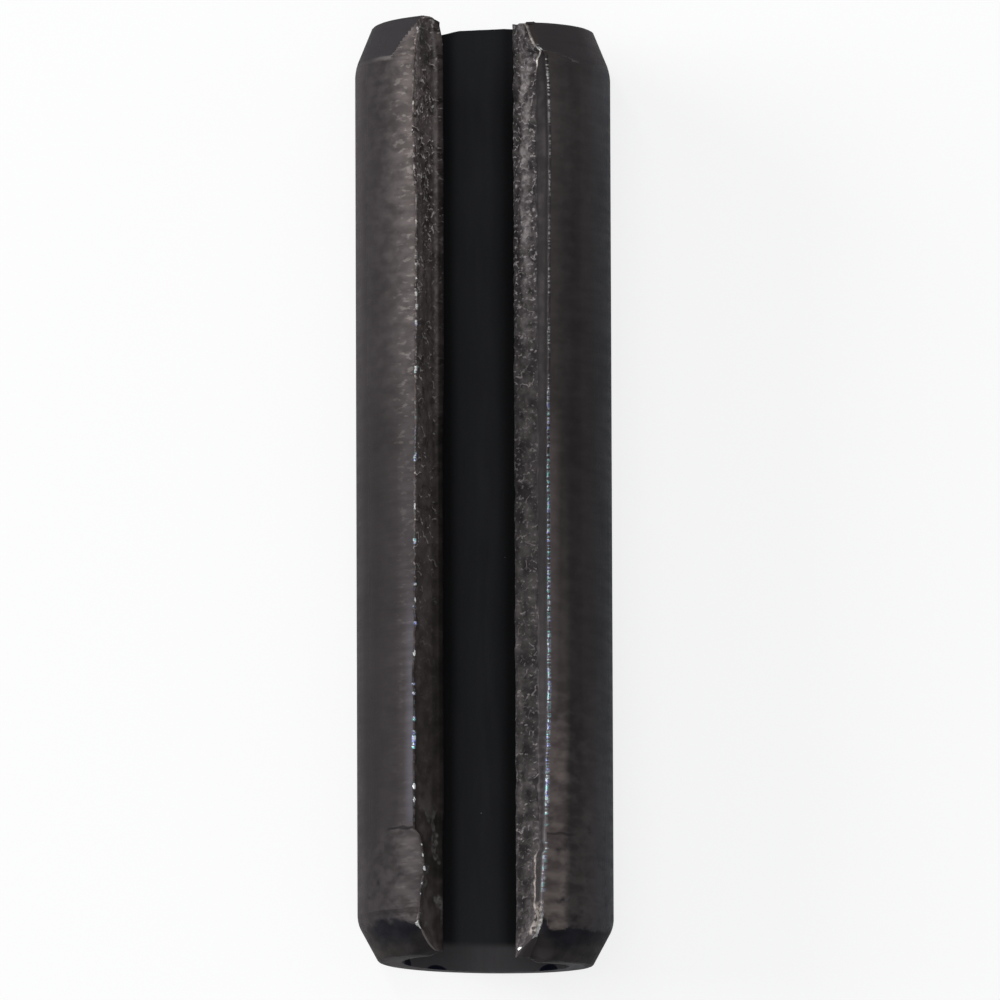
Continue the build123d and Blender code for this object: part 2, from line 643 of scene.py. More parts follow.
beaten = {"kind": "CLOUDS", "direction": "Z", "noise_depth": 1}
wide = (1.6, 1, 1)
roughen(pin, "left_flakes", flakes(-1, 0.5, 1.3, 0, 7), size=0.30, depth=0.032, stretch=wide, **beaten)
roughen(pin, "right_flakes", flakes(1, 0.4, 0.9, -7, -11), size=0.33, depth=0.022, **beaten)
roughen(pin, "old_dents", dented, size=0.22, depth=0.05, **beaten)
print("outside is beaten beside the lips")

# %% [markdown]
# ### Bare burrs
# A few burrs stand so high that they were rubbed bright. Each is an oval on the flat blank, and how much a
# vertex lies in one is kept as an attribute, because the finish makes them shine.

# %% Burrs that were rubbed bare
burrs = [
    # side, place along the pin, depth under the lip, length, width
    (-1, -14.92, 0.00, 0.18, 0.14), (-1, -14.60, 0.10, 0.12, 0.09), (-1, -13.90, 0.02, 0.08, 0.07),
    (-1, -13.55, 0.01, 0.07, 0.07), (-1, -13.05, 0.02, 0.12, 0.08), (-1, -12.60, 0.04, 0.09, 0.08),
    (-1, -12.25, 0.01, 0.07, 0.07), (-1, -10.73, 0.00, 0.11, 0.09), (-1, -10.26, 0.00, 0.16, 0.09),
    (-1, -8.66, 0.00, 0.17, 0.08), (-1, -5.77, 0.00, 0.19, 0.08), (-1, -3.97, 0.00, 0.13, 0.07),
    (-1, -0.84, 0.00, 0.17, 0.07), (-1, 15.35, 0.10, 0.14, 0.10),
    (1, -14.40, 0.00, 0.16, 0.08), (1, -14.62, 0.04, 0.20, 0.09), (1, -14.84, 0.04, 0.20, 0.09),
    (1, -15.02, 0.05, 0.14, 0.07), (1, -15.55, 0.40, 0.08, 0.24), (1, 14.92, 0.05, 0.10, 0.12),
]
x, y, z = read(pin.data.attributes["flat_place"].data, "vector", 3).T
below = read(pin.data.attributes["under_skin"].data, "value")
shine = np.zeros(len(x))
for side, place, depth, length, width in burrs:
    off = np.hypot(from_lip(x, side), below - depth)
    shine = np.maximum(shine, step_up(np.hypot((y - place) / length, off / width), 1.0, 0.45))
keep(pin, "bare_steel", shine)
print("bare vertices:", int((shine > 0.1).sum()))

# %% [markdown]
# ### The ends
# The shear crossed the strip a little askew, so one lip stands farther forward than the other. The closed
# side of the tube also bulges at both ends.

# %% The ends aren't quite square to the strip
moved = press(pin, "skew", lambda x, y, z: 0.5 - x / (2 * half_width) + 0 * y, 2 * end_skew, "Y")
press(pin, "skew_back", lambda x, y, z: 1 + 0 * y, -end_skew, "Y")


def end_bulge(end, shares):
    """Where the back of the tube stands out past its lips, as a rule for press."""
    def rule(x, y, z):
        return spread(x, shares) * step_up(end * y, half_length - 3.5, half_length - 0.5)
    return rule


def front_lip(side):
    """The near corner of one lip, towards the bore, as a rule for press."""
    def rule(x, y, z):
        return step_up(from_lip(x, side), 0.6, 0.0) * step_up(y, -15.2, -15.8) * step_up(z, 0.6, 1.2)
    return rule


back = {-6: 0, -1.9: 0.33, -1.2: 0.75, -0.3: 0.9, 0.8: 1, 2.5: 0.8, 6: 0}
press(pin, "back_bulge", end_bulge(+1, back), 0.41, "Y")
press(pin, "left_front_lip", front_lip(-1), 0.14, "Y")
press(pin, "right_front_lip", front_lip(+1), 0.14, "Y")
press(pin, "front_bulge", end_bulge(-1, {-6: 0, -2: 0.8, 0: 1, 2: 1, 6: 0}), -0.05, "Y")
print("skewed:", moved)

# %% [markdown]
# ## The roll
# The blank goes through the rollers. A Simple Deform bend does it: its angle is the width of the blank over
# the middle radius, so that the middle of the wall keeps its length. The bend turns about an Empty that
# stands at the middle of the wall.

# %% Rolling the strip into a tube
rollers = bpy.data.objects.new("rollers", None)
bpy.context.scene.collection.objects.link(rollers)
rollers.matrix_world = Matrix(((0, 0, 1, 0), (0, 1, 0, 0), (-1, 0, 0, wall / 2), (0, 0, 0, 1)))
bpy.context.view_layer.update()
across = places_of(pin)[:, 0]
bend = pin.modifiers.new("roll", "SIMPLE_DEFORM")
bend.deform_method = "BEND"
bend.deform_axis = "Y"
bend.origin = rollers
bend.angle = -(across.max() - across.min()) / middle_radius
bpy.context.view_layer.objects.active = pin
bpy.ops.object.modifier_apply(modifier="roll")
bpy.data.objects.remove(rollers)
rolled = places_of(pin)
print("rolled:", rolled.min(0).round(3), rolled.max(0).round(3))

# %% [markdown]
# The slot makes one side of the tube lighter, so the pin rolls until the slot looks up. It is turned by the
# last degree here and brought to metres. Both operators are given their centre, because there is no window.

# %% Turning the slot to where the pin comes to rest, and bringing it to metres
take(pin, "VERT")
bpy.ops.mesh.select_all(action="SELECT")
bpy.ops.transform.rotate(value=-radians(slot_lean), orient_axis="Y", center_override=(0, 0, outer_radius))
bpy.ops.transform.resize(value=(0.001, 0.001, 0.001), center_override=(0, 0, 0))
put_down()
rested = places_of(pin)
print("at rest, mm:", (1000 * rested.min(0)).round(3), (1000 * rested.max(0)).round(3))

# %% [markdown]
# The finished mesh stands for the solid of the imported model. Smooth shading stops at edges sharper than 40
# degrees, so the broken edges stay crisp.

# %% The pin takes the place of its CAD node
pin.data.polygons.foreach_set("use_smooth", np.ones(len(pin.data.polygons), bool))
bpy.ops.object.select_all(action="DESELECT")
pin.select_set(True)
bpy.context.view_layer.objects.active = pin
bpy.ops.object.shade_smooth_by_angle(angle=radians(40))
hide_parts("spring_pin")
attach(pin, "root")
print("piece:", pin.name, "triangles:", sum(len(face.vertices) - 2 for face in pin.data.polygons))

# %% [markdown]
# ## The finishes
# The steel is blackened: a thin skin of black oxide, darker and smoother in the bore, brown and beaten
# beside the lips, and broken where the shear tore through it. The three finishes share a few effects, so
# each effect is a node group, and each reads the flat places that were kept before the roll. A sign such as
# + between two values makes a Math node here, so a formula reads as it does on paper.

# %% Values that nodes put out
class Value:
    """What a node puts out. A sign between two values, such as + or *, makes a Math node."""

    def __init__(self, socket):
        self.socket = socket

    def __add__(self, other):
        return calc("ADD", self, other)

    def __radd__(self, other):
        return calc("ADD", other, self)

    def __sub__(self, other):
        return calc("SUBTRACT", self, other)

    def __rsub__(self, other):
        return calc("SUBTRACT", other, self)

    def __mul__(self, other):
        return calc("MULTIPLY", self, other)

    def __truediv__(self, other):
        return calc("DIVIDE", self, other)

    def __rtruediv__(self, other):
        return calc("DIVIDE", other, self)

    def __abs__(self):
        return calc("ABSOLUTE", self)


print("values can be added, multiplied and so on")

# %% [markdown]
# Each cell below takes one tree of nodes in hand, and these helpers add nodes to it. A socket takes either
# a link or a plain value, so one helper plugs in both.

# %% Wiring nodes
def plug(value, socket):
    """Links a value to an input, or writes a number or a colour into it."""
    if isinstance(value, Value):
        tree.links.new(value.socket, socket)
    elif isinstance(value, tuple) and socket.type == "RGBA":
        socket.default_value = (*value, 1)
    else:
        socket.default_value = value


def node(kind, inputs=None, **settings):
    """Adds a node to the tree in hand."""
    made = tree.nodes.new(kind)
    for name, value in settings.items():
        setattr(made, name, value)
    for name, value in (inputs or {}).items():
        plug(value, made.inputs[name])
    return made


def given_by(made):
    """All that a node puts out, by name."""
    return SimpleNamespace(**{socket.name: Value(socket) for socket in made.outputs})


def mark(name, result="Vector"):
    """Reads a mark that was kept on the piece."""
    return Value(node("ShaderNodeAttribute", attribute_name=name).outputs[result])


def calc(operation, first, second=0.0, clamp=False):
    """One step of arithmetic."""
    made = node("ShaderNodeMath", {0: first, 1: second}, operation=operation, use_clamp=clamp)
    return Value(made.outputs[0])


def vector(operation, first, second):
    """One step of arithmetic on places."""
    return Value(node("ShaderNodeVectorMath", {0: first, 1: second}, operation=operation).outputs[0])


def noise(place, scale, detail=2.0, distortion=0.0):
    """Blender's cloudy noise."""
    inputs = {"Vector": place, "Scale": scale, "Detail": detail, "Distortion": distortion}
    return Value(node("ShaderNodeTexNoise", inputs).outputs["Fac"])


print("wiring is ready")

# %% [markdown]
# Most of a finish is a matter of where. A ramp says it across an edge, and a graded value says it along the
# whole pin, as a table of places that anyone can move by hand.

# %% Ramps and colours
def ramp(value, start, end, low=0.0, high=1.0):
    """low before start, high after end, smooth between; start may be the greater."""
    if isinstance(start, float) and isinstance(end, float) and start > end:
        start, end, low, high = end, start, high, low
    inputs = {"Value": value, "From Min": start, "From Max": end, "To Min": low, "To Max": high}
    return Value(node("ShaderNodeMapRange", inputs, interpolation_type="SMOOTHSTEP").outputs["Result"])


def graded(along, stops, top=1.0):
    """A value set at some places from -16 to 16, as {place: value}, and even between. top is the highest."""
    share = node("ShaderNodeMapRange", {"Value": along, "From Min": -16.0, "From Max": 16.0})
    strip = node("ShaderNodeValToRGB", {0: Value(share.outputs["Result"])})
    stops = sorted(stops.items())
    elements = strip.color_ramp.elements
    while len(elements) < len(stops):
        elements.new(0.5)
    for element, (place, value) in zip(elements, stops):
        element.position = (place + 16) / 32
        element.color = (value / top, value / top, value / top, 1)
    return Value(strip.outputs["Color"]) * top


def blend(share, first, second):
    """One colour turning into another."""
    return Value(node("ShaderNodeMix", {0: share, 6: first, 7: second}, data_type="RGBA").outputs[2])


def scaled(colour, factor):
    """A colour made lighter or darker."""
    return Value(node("ShaderNodeVectorMath", {0: colour, "Scale": factor}, operation="SCALE").outputs[0])


print("ramps are ready")

# %% [markdown]
# A node group is begun with what it takes, and ended with what it gives. After that it can be used by name.

# %% Groups
def begin(name, **takes):
    """Takes a new node group in hand, with named inputs, and gives back what comes in through them."""
    global tree
    tree = bpy.data.node_groups.new(name, "ShaderNodeTree")
    for label, value in takes.items():
        kind = "NodeSocketVector" if isinstance(value, tuple) else "NodeSocketFloat"
        tree.interface.new_socket(label, in_out="INPUT", socket_type=kind).default_value = value
    return given_by(node("NodeGroupInput"))


def give(**values):
    """Ends the node group in hand with named outputs."""
    for label in values:
        tree.interface.new_socket(label, in_out="OUTPUT", socket_type="NodeSocketFloat")
    node("NodeGroupOutput", values)
    print("group:", tree.name, "gives", *values)


def use(name, **inputs):
    """Places a group in the tree in hand."""
    return given_by(node("ShaderNodeGroup", inputs, node_tree=bpy.data.node_groups[name]))


print("groups are ready")

# %% [markdown]
# ### The shared effects
# The first group turns the kept places into what a finish asks for: across, along, depth, and the distances
# from the lip and from its corner. Where a lip was pushed in, its bright line moves down the face with it.

# %% Group: where a point was on the flat blank
begin("flat_map")
place = given_by(node("ShaderNodeSeparateXYZ", {0: mark("flat_place")}))
lip = half_width - abs(place.X)
left = calc("LESS_THAN", place.X, 0.0)
pushed = graded(place.Y, {-14.9: 0, -14.4: 0.1, -13.8: 0.2, -12.2: 0.2, -11.8: 0.1, -11.5: 0})
under_lip = mark("under_skin", "Fac") - pushed * left
corner = calc("SQRT", lip * lip + under_lip * under_lip)
give(across=place.X, along=place.Y, deep=place.Z, lip=lip, corner=corner, left=left, right=1.0 - left)

# %% [markdown]
# Most of the finish is uneven in soft patches. One noise does for all, with its own size, stretch and seed.

# %% Group: patches, a stretched noise turned into a mask
takes = begin("patches", size=1.0, stretch=(1.0, 1.0, 1.0), detail=2.0, seed=0.0, low=0.4, high=0.6)
moved = vector("ADD", vector("DIVIDE", mark("flat_place"), takes.stretch), takes.seed)
cloud = noise(moved, 1.0 / takes.size, takes.detail)
give(mask=ramp(cloud, takes.low, takes.high), noise=cloud)


def cloudy(**inputs):
    """The noise of the patches, unchanged."""
    return use("patches", **inputs).noise


def patchy(**inputs):
    """The noise of the patches as a mask, 0 under low and 1 over high."""
    return use("patches", **inputs).mask

# %% [markdown]
# A torn grain leaves a hollow, and a curved rim that catches light on one side. The group compares a noise
# with the same noise a short step away, so the rim shows only where the hollow rises.

# %% Group: pits, where grains of steel tore out, and the curved rims that they left on one side
takes = begin("pits", size=0.3, share=0.5, seed=0.0)
moved = vector("ADD", mark("flat_place"), takes.seed)
ahead = vector("ADD", moved, (0.0, 0.05, 0.02))
scale = 1.0 / takes.size
hills, next_hills = [noise(spot, scale, 1.0, 0.4) for spot in (moved, ahead)]
level = 0.36 + takes.share * 0.12
rising = ramp(next_hills - hills, 0.012, 0.035) * ramp(noise(moved, scale * 0.8, 0.0), 0.50, 0.56)
rim = ramp(abs(hills - (level + 0.03)), 0.02, 0.05, 1.0, 0.0) * rising
give(hollow=ramp(hills - level, 0.0, -0.04), rim=rim)

# %% [markdown]
# A burr is rubbed bare in dots, and the dots come in runs. Two noises along the pin are added, a long one
# for the runs and a short one for the dots.

# %% Group: glints, bare steel on the burr of a lip
takes = begin("glints", reach=0.04, run=0.5, dot=0.12, low=0.5, seed=0.0)
where = use("flat_map")
line = given_by(node("ShaderNodeCombineXYZ", {0: where.left, 1: where.along, 2: takes.seed})).Vector
runs_and_dots = noise(line, 1.0 / takes.run, 0.0) * 0.45 + noise(line, 1.0 / takes.dot, 0.0) * 0.55
crumb = noise(mark("flat_place"), 12.0, 0.0)
bare = ramp(runs_and_dots, takes.low, takes.low + 0.05) * ramp(crumb, 0.40, 0.52, 0.2, 1.1)
give(mask=bare * ramp(where.corner, takes.reach * 0.3, takes.reach, 1.0, 0.0))

# %% [markdown]
# The last group gathers all the bare steel: the dots of both lips, and the burrs that were marked one by one.
# Tempered steel shines blue or green in places, and the tint says where.

# %% Group: the burrs, where they are bare and how they shine
begin("burrs")
where = use("flat_map")
along = where.along
reach = graded(along, {-12: 0.125, -6: 0.115, -1: 0.09, 6: 0.08})
left_dots = use("glints", reach=reach, run=0.9, dot=0.26, low=0.560, seed=1.5).mask
left_line = use("glints", reach=0.055, run=0.5, dot=0.13, low=0.49, seed=9.5).mask
left_line = left_line * graded(along, {-14: 0.1, 0: 0.12, 2: 0.3, 8: 0.25, 10: 0.1})
left_share = graded(along, {-15: 0, -14.6: 0.5, -11: 0.9, 2: 0.9, 7: 0.55, 9: 0.2, 11: 0, 15.5: 0})
low = graded(along, {-14: 0.6, -13.6: 0.47, -10: 0.42, -3: 0.45, 3: 0.48, 6: 0.50, 12: 0.50, 13.4: 0.43})
reach = graded(along, {-15: 0.13, -11: 0.13, -8: 0.11, -3: 0.10, 3: 0.075, 12: 0.065, 14: 0.08})
right_dots = use("glints", reach=reach, run=0.8, dot=0.10, low=low, seed=4.5).mask
right_share = graded(along, {
    -15: 0.2, -13.6: 0.24, -12.2: 0.32, -11.8: 0.44, -9: 0.52, -6: 0.38, -2: 0.38, 3: 0.28,
    8: 0.19, 12.5: 0.17, 13.6: 0.36, 15: 0.4, 15.1: 0,
})
dotted = calc("MAXIMUM", left_dots, left_line) * left_share * where.left
dotted = dotted + right_dots * right_share * where.right
crumbs = cloudy(size=0.12, detail=1.0, seed=21.0) - 0.5
spots = ramp(mark("bare_steel", "Fac") + crumbs * 1.2, 0.45, 0.6)
tint = noise(mark("flat_place"), 7.0)
plain = graded(along, {-15: 0.5, -12: 0.3, -10: 0.0, 0: 0.1, 4: 0.6, 8: 0.85, 15: 1.0})
tint = ramp(calc("MAXIMUM", spots * 2.0, plain), 0.0, 1.0, tint, 0.495)
give(mask=calc("MAXIMUM", dotted, spots * 0.85, clamp=True), tint=tint)

# %% [markdown]
# ### One recipe for three finishes
# Each finish is one shader with its own colour, roughness and relief. Where a burr is bare, the colour turns
# to steel, and the surface to smooth metal. Most of the shine is held back, because oxide is dull.

# %% A material with a bumped skin
def skin(name, colour, rough, height, depth, metal=0.4):
    """A finish from its colour, roughness and relief in millimetres. Bare burrs are the same on all."""
    global tree
    made = bpy.data.materials.new(name)
    made.use_nodes = True
    tree = made.node_tree
    rubbed = use("burrs")
    shine = blend(ramp(rubbed.tint, 0.43, 0.48), (0.26, 0.32, 0.66), (0.60, 0.60, 0.58))
    shine = blend(ramp(rubbed.tint, 0.51, 0.55), shine, (0.20, 0.52, 0.52))
    bump = node("ShaderNodeBump", {"Height": height(), "Distance": depth / 1000, "Strength": 1.0})
    looks = {
        "Base Color": blend(rubbed.mask, colour(), shine),
        "Roughness": ramp(rubbed.mask, 0.0, 1.0, rough(), 0.30),
        "Metallic": ramp(rubbed.mask, 0.0, 1.0, metal, 1.0),
        "Normal": given_by(bump).Normal,
        "Specular IOR Level": 0.06,
        "Specular Tint": (0.25, 0.25, 0.27),
    }
    for label, value in looks.items():
        plug(value, tree.nodes["Principled BSDF"].inputs[label])
    print("finish:", name)
    return made

# %% [markdown]
# ### The outside
# Rolled strip has faint lines along its length, and fine scuffs across it from the rollers. Beside the
# lips the oxide is thinner and brown. The noses are smoother, the near one darker with painted shade, and
# their edge is a thin bright line where the press left a burr.

# %% The outside left of the slot
rings_per_mm = 5.0


def blotches(noise, share, depth):
    """Lighter and darker by a depth, where a share allows it."""
    return (ramp(noise, 0.32, 0.68) - 0.5) * share * (depth * 2.0) + 1.0


def left_outside(along, lip, broad, wander, blotch):
    """The left half of the outside. Its brown grows towards the far end, with flecks of bare steel."""
    dim = graded(along, {-15: 0.92, -11.8: 0.84, -11.5: 0.76, 1.6: 0.76, 4: 0.88, 8: 0.94, 15: 0.95})
    left = scaled((0.0415, 0.0367, 0.0372), ramp(lip, 0.3, 0.75, 1.05, dim))
    left = scaled(left, ramp(lip, 1.5, 2.0, 1.0, 1.12) * ramp(broad, 0.35, 0.65, 0.94, 1.06))
    left = scaled(left, ramp(lip, 2.1, 2.6, 1.0, 1.27))
    soft_gap = lip + wander * 0.9
    band = {
        -15: 0.22, -13: 0.22, -11.7: 0.26, -11.5: 0.0, 0: 0.03,
        2: 0.18, 3.5: 0.4, 6: 0.62, 9.7: 0.9, 15: 0.95,
    }
    brown = ramp(soft_gap, 1.25, 0.15) * graded(along, band)
    left = blend(brown, left, (0.082, 0.07, 0.068))
    worn = graded(along, {-15: 0.9, -12: 0.8, -11.5: 0.3, 0: 0.3, 4: 0.7, 15: 1})
    swing = graded(along, {-15: 0.3, -11.8: 0.3, -11.5: 0.16, 0: 0.16, 15: 0.24})
    left = scaled(left, blotches(blotch, worn * ramp(lip, 2.4, 0.8, 0.3, 1.0), swing))
    flecks = patchy(size=0.14, stretch=(1.8, 1, 1), detail=2.0, seed=5.0, low=0.55, high=0.66)
    flecked = graded(along, {-15: 0.12, -11.8: 0.1, -11.5: 0.05, 0: 0.1, 4: 0.35, 8: 0.38, 15: 0.48})
    left = blend(flecks * flecked * ramp(soft_gap, 0.9, 0.3), left, (0.2, 0.18, 0.172))
    lilac = ramp(lip, 0.42, 0.12) * graded(along, {-11.6: 0, -11.3: 0.7, -8: 0.7, -5: 0.5, -3: 0})
    return blend(lilac, left, (0.082, 0.077, 0.09))

# %% [markdown]
# The right half was hit mostly at the near end. There its brown has a sharp border and is chipped, and
# farther along only a faint brown is left.

# %% The outside right of the slot
def right_outside(along, lip, broad, wander, blotch):
    """The right half of the outside, brown in a strip beside the lip that is sharp at the near end."""
    edge = ramp(lip, 1.2, 2.8)
    right = blend(edge, (0.0316, 0.0272, 0.0266), (0.035, 0.0352, 0.038))
    light = graded(along, {
        -15: 1.45, -12: 1.4, -7.8: 1.2, -2: 1.02, 5.4: 1.04, 9.7: 1.25, 13: 1.55, 15.5: 1.6,
    }, 2)
    right = scaled(right, light * ramp(broad, 0.35, 0.65, 0.92, 1.08))
    dark_line = ramp(lip, 0.55, 0.95) * ramp(lip, 1.4, 1.05)
    right = scaled(right, ramp(dark_line, 0.0, 1.0, 1.0, 0.84))
    narrow = graded(along, {-13: 0.75, 1: 0.75, 3: 0.25, 15: 0.2})
    narrow = narrow * ramp(lip, 0.6, 0.05)
    sharp_gap = lip + wander * 0.22
    sharp = graded(along, {-15: 1.0, -12: 0.95, -9: 1.0, -7: 0.4, -3: 0.25, 0: 0.15, 3: 0})
    sharp = sharp * ramp(sharp_gap, 0.8, 0.48) * ramp(wander, -0.15, 0.15, 0.75, 1.0)
    right = blend(calc("MAXIMUM", narrow, sharp), right, (0.112, 0.092, 0.085))
    swing = graded(along, {-15: 0.3, -8: 0.26, -6: 0.1, 15: 0.1})
    return scaled(right, blotches(blotch, ramp(lip, 2.0, 0.5, 0.25, 1.0), swing))

# %% [markdown]
# The two halves meet at the closed side of the tube. The press line is drawn over them in black, and then
# the noses: the near one dark with painted shade and a painted shadow under its shoulder, the far one grey.

# %% The outside as a whole
def outside_colour():
    """The two halves, then the press line, and the noses over both."""
    where = use("flat_map")
    along, lip = where.along, where.lip
    left_side = ramp(where.across, 3.5, -3.5)
    wander = cloudy(size=0.5, detail=3.0, seed=8.0) - 0.5
    blotch = cloudy(size=0.34, stretch=(1.3, 1, 1), detail=2.0, seed=23.0)
    shared = (along, lip, cloudy(size=1.6, stretch=(1, 1.6, 1), detail=3.0, seed=3.0), wander, blotch)
    colour = blend(left_side, right_outside(*shared), left_outside(*shared))
    sill = abs(along - press_line_place + wander * 0.25)
    sill = ramp(sill, 0.07, 0.02) * ramp(lip, 1.15, 0.8) * ramp(where.left, 0.0, 1.0, 0.5, 0.8)
    colour = blend(sill, colour, (0.012, 0.011, 0.012))
    pressed = mark("pressed", "Fac") + wander * 0.05
    near = calc("LESS_THAN", along, 0.0)
    chipped = graded(along, {-15: 0.9, -11.5: 0.9, -10: 0.3, -9: 0})
    chipped = calc("MAXIMUM", ramp(pressed, 0.01, 0.1), chipped)
    ragged_press = pressed + wander * chipped * 0.5
    nose = near * ramp(ragged_press, 0.03, 0.17) + (1.0 - near) * ramp(pressed, 0.045, 0.075)
    # Painted shade: the near nose is darker, and darkest in a bluish painted shadow just under its shoulder.
    rim_side = ramp(ragged_press, 0.25, 0.65) * ramp(lip, 0.5, 1.5, 0.75, 1.0)
    shaded_near_nose = blend(rim_side, (0.0135, 0.0132, 0.0165), (0.031, 0.0278, 0.0262))
    shaded_near_nose = blend(left_side * ramp(lip, 1.9, 2.6) * 0.7, shaded_near_nose, (0.045, 0.039, 0.0365))
    shaded_near_nose = scaled(shaded_near_nose, blotches(blotch, 1.0, 0.16))
    far_nose = scaled((0.044, 0.0395, 0.04), ramp(lip, 1.6, 2.6, 1.0, 1.45))
    far_nose = blend(left_side, far_nose, (0.0345, 0.0318, 0.0335))
    colour = blend(nose, colour, blend(near, far_nose, shaded_near_nose))
    burr_line = ramp(pressed, 0.028, 0.045) * ramp(pressed, 0.075, 0.058)
    ring = lip * rings_per_mm  # graded counts from -16 to 16, so the few millimetres are drawn out
    on_right = graded(ring, {-16: 0, 1.3: 0.05, 2: 0.6, 5: 0.6, 6.5: 0, 16: 0})
    on_left = graded(ring, {-16: 0.0, 0: 0.8, 5: 0.7, 9: 0.1, 16: 0})
    burr_line = burr_line * blend(where.left, on_right, on_left) * ramp(near, 0.0, 1.0, 1.0, 0.15)
    return blend(burr_line, colour, (0.13, 0.12, 0.118))


def outside_rough():
    """Scuffs from the rollers are a little rougher."""
    scuffs = cloudy(size=0.5, stretch=(3, 0.6, 1), detail=2.0, seed=2.0)
    return ramp(scuffs, 0.3, 0.7, 0.52, 0.64)


def outside_height():
    """Lines along the pin, scuffs across it and a fine grain."""
    lines = cloudy(size=0.16, stretch=(0.7, 12, 1), detail=1.0, seed=6.0)
    scuffs = cloudy(size=0.25, stretch=(5, 0.5, 1), detail=1.0, seed=9.0)
    grain = cloudy(size=0.09, detail=1.0, seed=11.0)
    return lines + scuffs + grain * 0.35


outside = skin("blackened_outside", outside_colour, outside_rough, outside_height, 0.006)

# %% [markdown]
# ### The bore
# Nothing touches the bore, so its oxide is smooth, even and the darkest of all. A few specks of dust lie in
# it.
# Painted shade darkens it towards both sides and towards the far end. At the near end a lighter band is
# painted where light comes in through the open end, with three painted shadows on it. Each shadow is an
# oval, measured from its middle as a share of its width and reach.

# %% The bore
def dust():
    """A few specks of chance size and place."""
    cells = {"Vector": mark("flat_place"), "Scale": 0.9}
    specks = given_by(node("ShaderNodeTexVoronoi", cells, feature="F1"))
    lucky = given_by(node("ShaderNodeSeparateColor", {0: specks.Color}))
    dot = calc("LESS_THAN", specks.Distance, lucky.Green * 0.040)
    return dot * calc("GREATER_THAN", lucky.Red, 0.6)


def bore_colour():
    """Black with dust, painted shade at the sides and far end, a painted light band and three painted shadows
    at the near end.
    """
    where = use("flat_map")
    broad = patchy(size=2.2, stretch=(1, 2, 1), detail=2.0, seed=13.0, low=0.3, high=0.7)
    colour = blend(broad, (0.025, 0.0258, 0.0278), (0.0285, 0.0292, 0.0312))
    # Painted shade: darker towards the far end.
    colour = scaled(colour, graded(where.along, {-15: 1.0, 11: 1.0, 14: 0.8, 15.8: 0.5}))
    # Painted shade: darker towards both sides, where the lips shadow the bore, and lighter between them.
    painted_lip_shade = {
        -1.95: 0.57, -1.6: 0.66, -1.4: 1.08, -1.2: 1.4,
        -0.3: 1.18, 0.2: 1.02, 0.5: 0.87, 0.75: 0.66, 0.95: 0.45,
    }
    colour = scaled(colour, graded(where.across, painted_lip_shade, 1.5))
    wander = cloudy(size=1.0, detail=1.0, seed=12.0) - 0.5
    gap = where.along + wander * 0.08
    # A painted light band at the near end, where light comes in through the open end.
    colour = blend(ramp(gap, -14.85, -15.15), colour, (0.068, 0.064, 0.066))
    # Three painted shadows at the near end: bluish black ovals by the rim.
    for across, width, reach in ((-4.5, 0.45, 0.3), (-2.35, 0.55, 0.16), (2.95, 0.6, 0.2)):
        off = (where.across - across) / width
        high = (where.along + half_length) / reach
        round_off = off * off + high * high
        spot = ramp(round_off + wander, 1.1, 0.7)
        colour = blend(spot, colour, (0.006, 0.0068, 0.014))
    return blend(dust(), colour, (0.25, 0.25, 0.26))


def bore_rough():
    """Streaks along the bore."""
    streaks = cloudy(size=0.5, stretch=(0.6, 6, 1), detail=2.0, seed=14.0)
    return ramp(streaks, 0.3, 0.7, 0.58, 0.66)


def bore_height():
    """A faint grain, drawn out along the bore."""
    return cloudy(size=0.1, stretch=(1, 5, 1), detail=1.0, seed=15.0)


bore = skin("blackened_bore", bore_colour, bore_rough, bore_height, 0.003, 0.25)

# %% [markdown]
# ### The cut faces
# Torn steel has small curved rims where its grains tore out, thick together at the far end and few at the
# near end. The clean land under the right lip is smooth, with small teeth from the blade near the near end.

# %% The left face, and where the clean land ends
chip_grey = (0.24, 0.22, 0.22)
bright_rim = (0.50, 0.46, 0.43)
tooth_pitch = 0.29


def torn_edge(where):
    """How far below the clean land a point lies, in millimetres. All of the left face counts as torn."""
    wander = cloudy(size=0.5, stretch=(1, 1, 4), detail=3.0, seed=16.0)
    deep = where.deep + (wander - 0.5) * 0.3
    edge = graded(where.along, {
        -15.5: land_depth + 0.15, -12.3: land_depth + 0.15,
        -11.8: land_depth, 14.6: land_depth, 15.0: land_depth - 0.33,
    })
    return deep - edge


